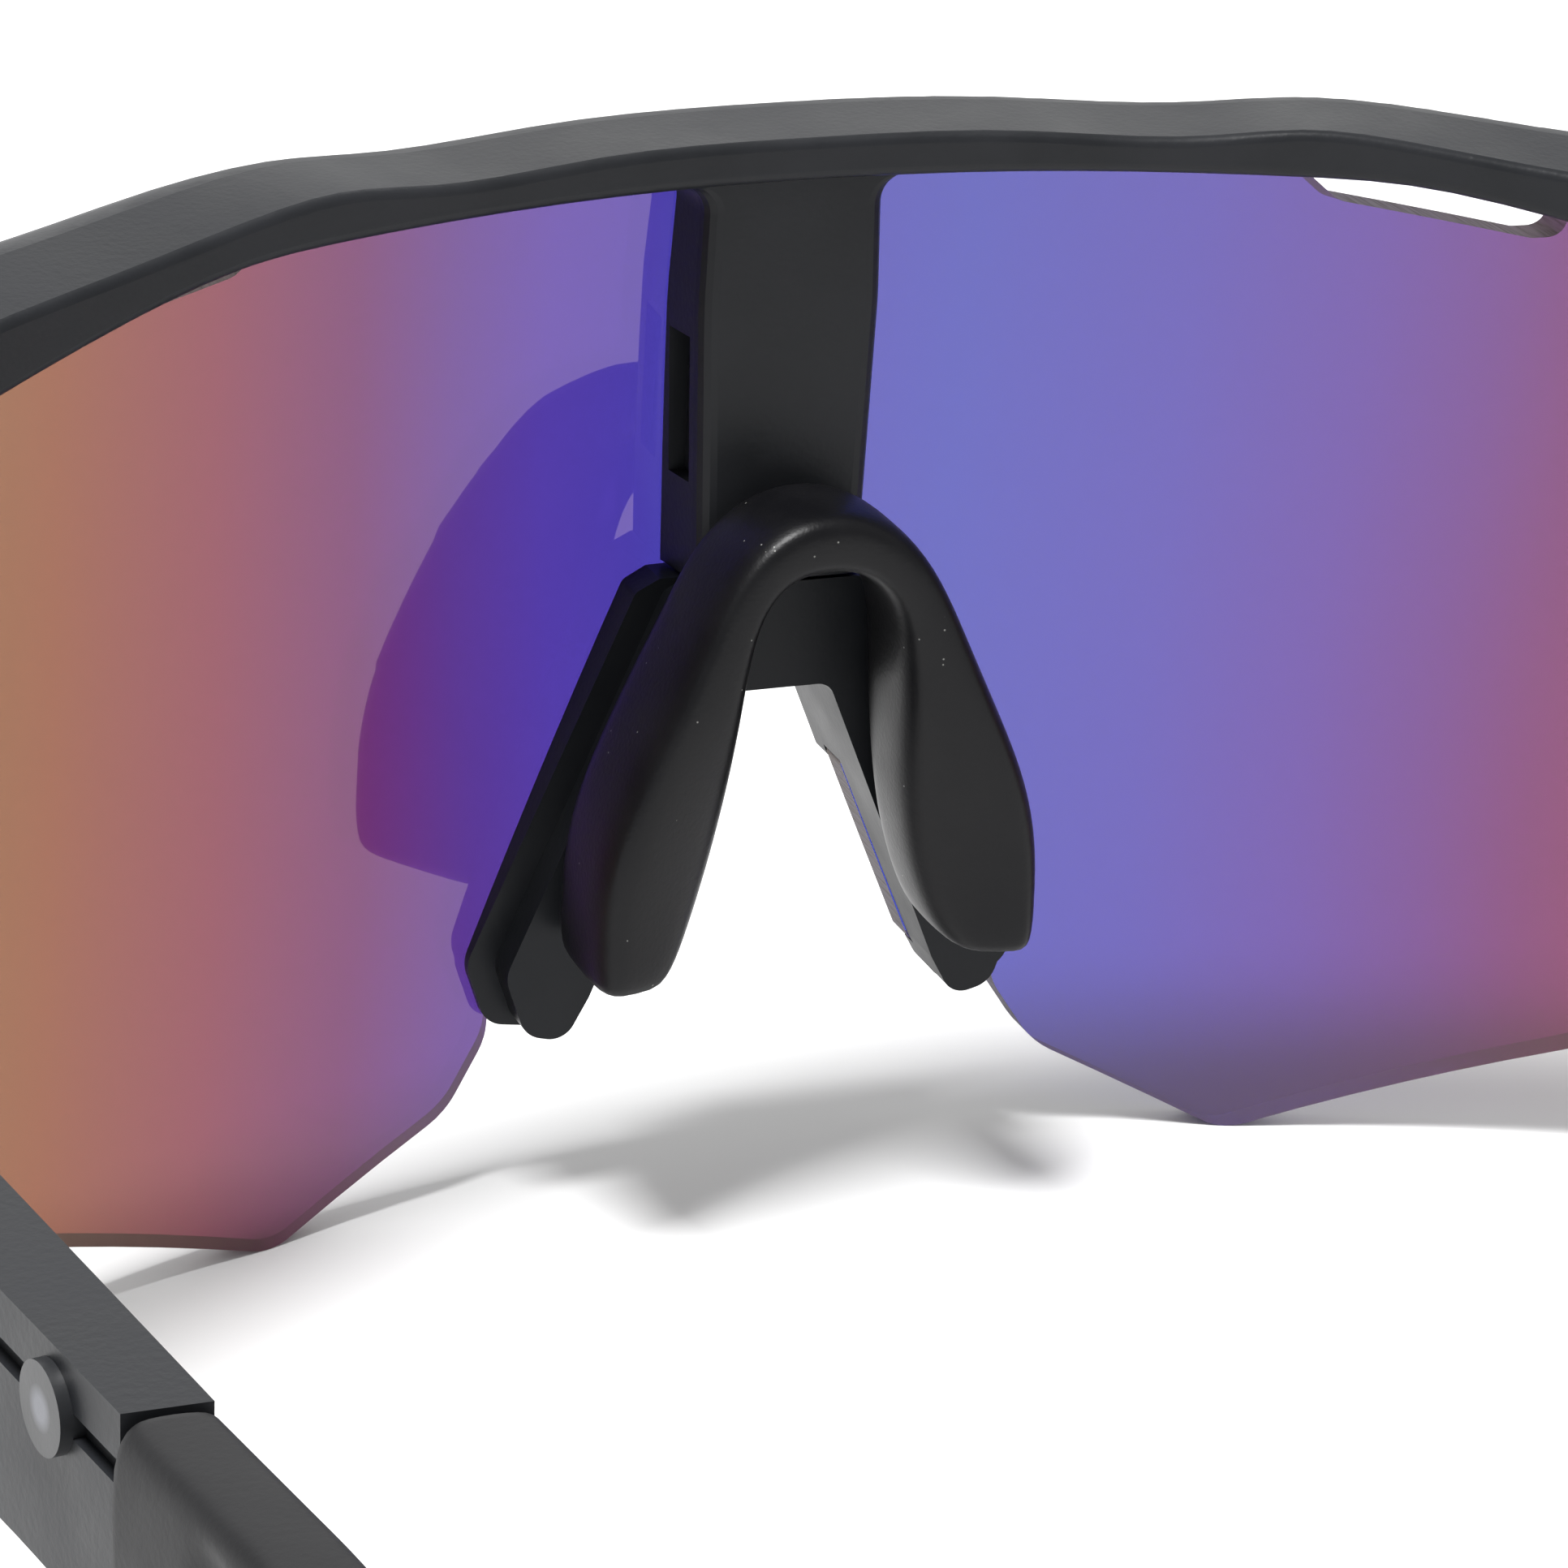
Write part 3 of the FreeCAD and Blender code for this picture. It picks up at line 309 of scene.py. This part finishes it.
def lens_material():
    """Tinted glass whose colour changes across the lens, with a ground edge."""
    material = bpy.data.materials.new("mirror_lens")
    material.use_nodes = True
    tree = material.node_tree
    shader = tree.nodes["Principled BSDF"]
    place = add_node(tree, "ShaderNodeTexCoord")
    axes = add_node(tree, "ShaderNodeSeparateXYZ")
    tree.links.new(place.outputs["Object"], axes.inputs["Vector"])
    reach = LENS_FILM[-1][0] * MM
    # a slow noise bends the bands of colour a little, as a film of uneven thickness does
    uneven = add_node(tree, "ShaderNodeTexNoise")
    uneven.inputs["Scale"].default_value = 22.0
    uneven.inputs["Detail"].default_value = 1.0
    tree.links.new(place.outputs["Object"], uneven.inputs["Vector"])
    drift = add_node(tree, "ShaderNodeMath", operation="MULTIPLY_ADD")
    drift.inputs[1].default_value = FILM_DRIFT
    tree.links.new(uneven.outputs["Fac"], drift.inputs[0])
    tree.links.new(axes.outputs["X"], drift.inputs[2])
    across = add_node(tree, "ShaderNodeMapRange")
    across.inputs["From Min"].default_value = -reach + FILM_DRIFT / 2
    across.inputs["From Max"].default_value = reach + FILM_DRIFT / 2
    tree.links.new(drift.outputs[0], across.inputs["Value"])
    film = ramp(tree, [((x * MM + reach) / (2 * reach), colour) for x, colour in LENS_FILM])
    tree.links.new(across.outputs["Result"], film.inputs["Fac"])

    # the ground edge
    facing = add_node(tree, "ShaderNodeSeparateXYZ")
    tree.links.new(place.outputs["Normal"], facing.inputs["Vector"])
    straight_back = add_node(tree, "ShaderNodeMath", operation="ABSOLUTE")
    tree.links.new(facing.outputs["Y"], straight_back.inputs[0])
    edge = add_node(tree, "ShaderNodeMath", operation="LESS_THAN")
    edge.inputs[1].default_value = GROUND_LIMIT
    tree.links.new(straight_back.outputs[0], edge.inputs[0])
    # cutter marks run through the sheet's thickness, so they are long along Y
    stretch = add_node(tree, "ShaderNodeMapping")
    stretch.inputs["Scale"].default_value = CUTTER_MARKS
    tree.links.new(place.outputs["Object"], stretch.inputs["Vector"])
    marks = add_node(tree, "ShaderNodeTexNoise")
    marks.inputs["Scale"].default_value = 1.0
    marks.inputs["Detail"].default_value = 2.0
    tree.links.new(stretch.outputs["Vector"], marks.inputs["Vector"])
    ground = ramp(tree, [(0.35, (0.008, 0.007, 0.008)), (0.65, (0.16, 0.14, 0.15))])
    tree.links.new(marks.outputs["Fac"], ground.inputs["Fac"])
    colour = add_node(tree, "ShaderNodeMix", data_type="RGBA")
    tree.links.new(edge.outputs[0], colour.inputs["Factor"])
    tree.links.new(film.outputs["Color"], colour.inputs["A"])
    tree.links.new(ground.outputs["Color"], colour.inputs["B"])
    tree.links.new(colour.outputs["Result"], shader.inputs["Base Color"])
    rough = add_node(tree, "ShaderNodeMapRange")
    rough.inputs["To Min"].default_value = POLISHED
    rough.inputs["To Max"].default_value = GROUND
    tree.links.new(edge.outputs[0], rough.inputs["Value"])
    tree.links.new(rough.outputs["Result"], shader.inputs["Roughness"])
    shader.inputs["IOR"].default_value = 1.72
    shader.inputs["Transmission Weight"].default_value = 1.0
    shader.inputs["Specular Tint"].default_value = (1.0, 0.76, 0.60, 1.0)
    return material


mirror_lens = lens_material()
print("film colours:", len(LENS_FILM))

# %% [markdown]
# ## Dressing the CAD nodes
#
# The frame, the lens, the carrier, the temples and the hinges already have their true shapes.  Each
# takes the material of its slot in the record, so a new node needs no new line.  Nothing is moved.

# %% Give each node its material
FINISH = {
    "frame_plastic": frame_black,
    "temple_plastic": frame_black,
    "carrier": carrier_black,
    "lens": mirror_lens,
    "pad_rubber": pad_rubber,
    "sock_rubber": sock_rubber,
    "hinge_steel": hinge_steel,
    "stud": stud_grey,
}
slots = {part["node"]: part["material_slot"] for part in frame["record"]["subparts"]}
for name, node in frame["nodes"].items():
    node.data.materials.clear()
    node.data.materials.append(FINISH[slots[name]])
print("dressed:", len(slots))

# %% [markdown]
# ## Lofted rubber
#
# The nose pad and the ear socks are both long soft bars whose section changes along the way.  A lofted
# bar is made from circles: each `create_circle` ring is reshaped into a soft-cornered rectangle, set
# square to the bar's run, and `bridge_loops` joins it to the next.  A Subdivision Surface then rounds
# the ends.

# %% Loft helpers
def add_ring(mesh, sides, middle, across, deep, squareness, shape=None):
    """Ring about a middle point: across and deep are its two half axes as vectors."""
    made = bmesh.ops.create_circle(mesh, cap_ends=False, segments=sides, radius=1.0)["verts"]
    for corner in made:
        u, v = corner.co.x, corner.co.y
        u = math.copysign(abs(u) ** (2 / squareness), u)
        v = math.copysign(abs(v) ** (2 / squareness), v)
        if shape:
            u, v = shape(u, v)
        corner.co = middle + across * u + deep * v
    return list({edge for corner in made for edge in corner.link_edges})


def join_rings(mesh, rings):
    """Skin over the rings and caps over the first and last."""
    for ring, following in zip(rings, rings[1:]):
        bmesh.ops.bridge_loops(mesh, edges=ring + following)
    for ring in (rings[0], rings[-1]):
        bmesh.ops.holes_fill(mesh, edges=ring, sides=0)
    bmesh.ops.recalc_face_normals(mesh, faces=mesh.faces)


def keep_inside(mesh, low, high):
    """Holds every corner inside a box; a subdivided skin never leaves the box of its corners."""
    for corner in mesh.verts:
        corner.co = Vector(min(max(value, a), b) for value, a, b in zip(corner.co, low, high))


def soft_piece(name, mesh, levels, material, node, body):
    """Object from a bmesh, smooth and subdivided, that stands for a CAD node and rides on its body."""
    data = bpy.data.meshes.new(name)
    mesh.to_mesh(data)
    mesh.free()
    for face in data.polygons:
        face.use_smooth = True
    data.materials.append(material)
    piece = bpy.data.objects.new(name, data)
    bpy.context.scene.collection.objects.link(piece)
    rounding = piece.modifiers.new("rounding", "SUBSURF")
    rounding.levels = levels
    rounding.render_levels = levels
    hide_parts(node)
    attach(piece, body)
    print(name, "faces before subdivision:", len(data.polygons))
    return piece


# %% [markdown]
# ## Nose pad
#
# One moulded rubber saddle.  Its two wings are thick and softly rounded, with a sloping contact face,
# and a thinner arch that fills the space behind the column joins them over the bridge.  It could be
# cut from a block, but its section changes all the way, so it is lofted.  Each row below is a station
# of the wearer's left half, from the foot to the middle of the arch: the inner and the outer
# edge, as distance across and height, then how far behind the pad's front face the rubber starts and
# ends, then how far the face that touches the nose slopes away at its inner edge.

# %% Nose pad
PAD_SIDES, PAD_SQUARENESS = 24, 3.6
PAD_STATIONS = [
    # across, up (inner); across, up (outer); front, rear; slope of the contact face; in mm
    ((8.10, 0.00), (10.80, 0.05), (0.6, 7.4), 0.20),
    ((7.00, 0.45), (11.25, 0.60), (0.0, 8.3), 0.36),
    ((6.05, 2.10), (11.35, 2.80), (0.0, 8.30), 0.50),
    ((5.15, 4.70), (11.30, 5.80), (0.0, 8.30), 0.56),
    ((4.55, 7.60), (10.60, 8.80), (0.0, 8.30), 0.50),
    ((4.20, 10.50), (9.40, 11.60), (0.0, 8.2), 0.36),
    ((4.00, 13.40), (8.10, 14.30), (0.1, 8.0), 0.20),
    ((3.80, 16.00), (6.95, 16.80), (0.5, 7.6), 0.08),
    ((3.45, 17.90), (5.75, 19.40), (0.6, 7.3), 0.0),
    ((2.70, 19.20), (4.20, 21.60), (0.6, 7.1), 0.0),
    ((1.50, 19.95), (2.15, 22.95), (0.6, 6.9), 0.0),
    ((0.00, 20.10), (0.00, 23.35), (0.6, 6.9), 0.0),
]
pad_low, pad_high = (Vector(corner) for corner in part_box("nose_pad"))


def pad_ring(mesh, side, station):
    """One ring of the pad; side is 1 on the wearer's left and -1 on the right."""
    (in_x, in_up), (out_x, out_up), (front, rear), slope = station
    inner = Vector((side * in_x, front, in_up))
    outer = Vector((side * out_x, rear, out_up))
    origin = Vector((0.0, pad_low.y, pad_low.z))
    middle = origin + (inner + outer) * (MM / 2)
    across = Vector((side * (out_x - in_x), 0.0, out_up - in_up)) * (MM / 2)
    deep = Vector((0.0, (rear - front) * MM / 2, 0.0))

    def sloped(u, v):
        return u, v - slope * (1 - u) / 2 * (v + 1) / 2

    return add_ring(mesh, PAD_SIDES, middle, across, deep, PAD_SQUARENESS, sloped)


pad_mesh = bmesh.new()
left_half = [pad_ring(pad_mesh, 1, station) for station in PAD_STATIONS]
right_half = [pad_ring(pad_mesh, -1, station) for station in PAD_STATIONS[-2::-1]]
join_rings(pad_mesh, left_half + right_half)
keep_inside(pad_mesh, pad_low, pad_high)
soft_piece("nose_pad_rubber", pad_mesh, 2, pad_rubber, "nose_pad", "front")

# %% [markdown]
# ## Ear socks
#
# A rubber sleeve over the end of each temple.  It runs level from its mouth, turns down over the ear,
# and leans in with the temple.  Both of its sides have two staggered rows of round dimples for grip.
# A curve with a bevel would give the run, but not the dimples, so rings are used here too.
# The rings follow the run: a level stretch, an arc, then a straight stretch to the rounded tip.

# %% Ear socks
SOCK = {
    # in mm; level is the straight stretch behind the mouth
    "height": 7.3, "thickness": 3.4, "level": 7.5, "bend": 36.0, "turn": math.radians(64.0),
}
DIMPLE = {
    # in mm; row is how far each row lies from the middle line
    "radius": 1.25, "depth": 0.42, "gap": 4.2, "row": 1.35, "first": 4.0,
    "clear_of_mouth": 3.0, "clear_of_tip": 9.0,
}
TEMPLE_PLAN = {"lean": 21.6, "bow": 0.6, "length": 128.0, "sock_at": 68.5}
RING_GAP = 0.7
MOUTH_RING = 0.12                  # second ring, close behind the first, keeps the mouth's edge crisp
SOCK_SIDES, SOCK_SQUARENESS = 32, 4.0
TIP_THICKNESS = 0.45               # share of the thickness that the rounded tip keeps
SMALLEST_RING = 0.03               # so that no ring shrinks to a point


def sock_run(box_low, box_high):
    """Places along the middle of the sock's profile: distance, run back, height and slope."""
    half = SOCK["height"] / 2
    top = (box_high.z - box_low.z) / MM - half
    turn = SOCK["turn"]
    drop = SOCK["bend"] * (1 - math.cos(turn))
    straight = (top - drop - half) / math.sin(turn)
    arc = SOCK["bend"] * turn
    total = SOCK["level"] + arc + straight + half
    count = round(total / RING_GAP)
    even = [total * index / count for index in range(1, count + 1)]
    for along in [0.0, MOUTH_RING] + even:
        if along <= SOCK["level"]:
            yield along, total, along, top, 0.0
        elif along <= SOCK["level"] + arc:
            angle = (along - SOCK["level"]) / SOCK["bend"]
            yield (along, total, SOCK["level"] + SOCK["bend"] * math.sin(angle),
                   top - SOCK["bend"] * (1 - math.cos(angle)), angle)
        else:
            rest = along - SOCK["level"] - arc
            yield (along, total, SOCK["level"] + SOCK["bend"] * math.sin(turn) + rest * math.cos(turn),
                   top - drop - rest * math.sin(turn), turn)


def leaned(back):
    """How far the sock's outer face has come in, at a distance behind its mouth, in mm."""
    def inward(distance):
        share = distance / TEMPLE_PLAN["length"]
        return TEMPLE_PLAN["lean"] * share - 4 * TEMPLE_PLAN["bow"] * share * (1 - share)
    return inward(TEMPLE_PLAN["sock_at"] + back) - inward(TEMPLE_PLAN["sock_at"])


def dimpled(along, total):
    """Shape for a ring: pushes the flat sides in where a dimple is."""
    def shape(u, v):
        on_a_side = abs(u) >= 0.7
        in_the_grip = DIMPLE["clear_of_mouth"] <= along <= total - DIMPLE["clear_of_tip"]
        if not (on_a_side and in_the_grip):
            return u, v
        height = v * SOCK["height"] / 2
        depth = 0.0
        for row, shift in ((-1, 0.0), (1, 0.5)):
            step = (along - DIMPLE["first"]) / DIMPLE["gap"] - shift
            apart = (step - round(step)) * DIMPLE["gap"]
            away = math.hypot(apart, height - row * DIMPLE["row"])
            if away < DIMPLE["radius"]:
                depth = DIMPLE["depth"] * math.sqrt(1 - (away / DIMPLE["radius"]) ** 2)
        return math.copysign(abs(u) - depth / (SOCK["thickness"] / 2), u), v
    return shape


def make_sock(side_name, sign):
    """Ear sock of one side; sign is 1 on the wearer's left and -1 on the right."""
    node = "ear_sock_" + side_name
    low, high = (Vector(corner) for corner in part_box(node))
    mouth = high.x if sign > 0 else -low.x          # outer face at the mouth, read on the +X side
    mesh = bmesh.new()
    rings = []
    half_height = SOCK["height"] / 2 * MM
    half_thick = SOCK["thickness"] / 2 * MM
    for along, total, back, up, slope in sock_run(low, high):
        from_tip = min((total - along) * 2 / SOCK["height"], 1.0)
        round_end = min(1.0, math.sqrt(max(0.0, 1 - (1 - from_tip) ** 2)) + SMALLEST_RING)
        x = mouth - half_thick - leaned(back) * MM
        middle = Vector((sign * x, low.y + back * MM, low.z + up * MM))
        thinned = TIP_THICKNESS + (1 - TIP_THICKNESS) * round_end
        across = Vector((sign * half_thick * thinned, 0, 0))
        deep = Vector((0, math.sin(slope), math.cos(slope))) * half_height * round_end
        rings.append(add_ring(mesh, SOCK_SIDES, middle, across, deep, SOCK_SQUARENESS,
                              dimpled(along, total)))
    join_rings(mesh, rings)
    keep_inside(mesh, low, high)
    return soft_piece("ear_sock_rubber_" + side_name, mesh, 1, sock_rubber, node,
                      side_name + "_temple")


for side_name, sign in SIDES.items():
    make_sock(side_name, sign)

# %% [markdown]
# ## Floor
#
# A plain pale floor. It is one large square, far bigger than what any camera here sees of it, so it
# needs no backdrop.

# %% Floor
FLOOR_HALF = 3.0
sweep = bmesh.new()
bmesh.ops.create_grid(sweep, x_segments=1, y_segments=1, size=FLOOR_HALF)
floor_mesh = bpy.data.meshes.new("floor")
sweep.to_mesh(floor_mesh)
sweep.free()
floor = bpy.data.objects.new("floor", floor_mesh)
bpy.context.scene.collection.objects.link(floor)
floor_white = bpy.data.materials.new("floor_white")
floor_white.use_nodes = True
floor_shader = floor_white.node_tree.nodes["Principled BSDF"]
floor_shader.inputs["Base Color"].default_value = (0.9, 0.9, 0.9, 1)
floor_shader.inputs["Roughness"].default_value = 0.6
floor_mesh.materials.append(floor_white)
print("floor is", 2 * FLOOR_HALF, "m wide")

# %% [markdown]
# ## Light
#
# A soft key hangs high above, a little to the wearer's left, so the shadow is a soft grey band right
# under the frame.  A wide, weak panel in front is what the tops of the bar and of the temples mirror:
# it lifts them above the rear faces, which mirror only the floor.  The world fills the rest.

# %% Lights
def emitter(name, place, width, height, power):
    """Rectangular area light aimed at the middle of the floor."""
    light = bpy.data.lights.new(name, "AREA")
    light.shape = "RECTANGLE"
    light.size = width
    light.size_y = height
    light.energy = power
    holder = bpy.data.objects.new(name, light)
    holder.location = place
    holder.rotation_euler = (-Vector(place)).to_track_quat("-Z", "Y").to_euler()
    bpy.context.scene.collection.objects.link(holder)


scene = bpy.context.scene
world = bpy.data.worlds.new("studio")
scene.world = world
world.use_nodes = True
background = world.node_tree.nodes["Background"]
background.inputs["Color"].default_value = (1, 1, 1, 1)
background.inputs["Strength"].default_value = 0.45
emitter("key", (0.30, 0.08, 1.10), width=0.34, height=0.34, power=20.0)
emitter("front_panel", (-0.1, -1.3, 0.60), width=1.8, height=0.9, power=5.0)
scene.view_settings.view_transform = "Standard"
print("lights:", [light.name for light in bpy.data.lights])

# %% [markdown]
# ## Camera
#
# The camera stands behind the glasses, above and to the wearer's left, and looks at the bridge through
# a long lens.  Its matrix is built from two directions, what is sideways and what is forward, because
# they say how it is turned more plainly than three angles do.

# %% Camera
CAMERA_PLACE = (0.09494, 0.16117, 0.12413)
SIDEWAYS = Vector((-0.93523, 0.35178, 0.03990)).normalized()
FORWARD = Vector((-0.34040, -0.86251, -0.37445)).normalized()

camera_data = bpy.data.cameras.new("camera")
camera_data.sensor_width = 36.0
camera_data.lens = 131.0
camera_data.shift_x = 0.0217
camera_data.shift_y = 0.0038
camera_data.clip_start = 0.01
camera = bpy.data.objects.new("camera", camera_data)
turned = Matrix((SIDEWAYS, SIDEWAYS.cross(FORWARD), -FORWARD)).transposed()
camera.matrix_world = Matrix.Translation(CAMERA_PLACE) @ turned.to_4x4()
scene.collection.objects.link(camera)
scene.camera = camera
print("camera distance from the origin in m:", round(Vector(CAMERA_PLACE).length, 3))
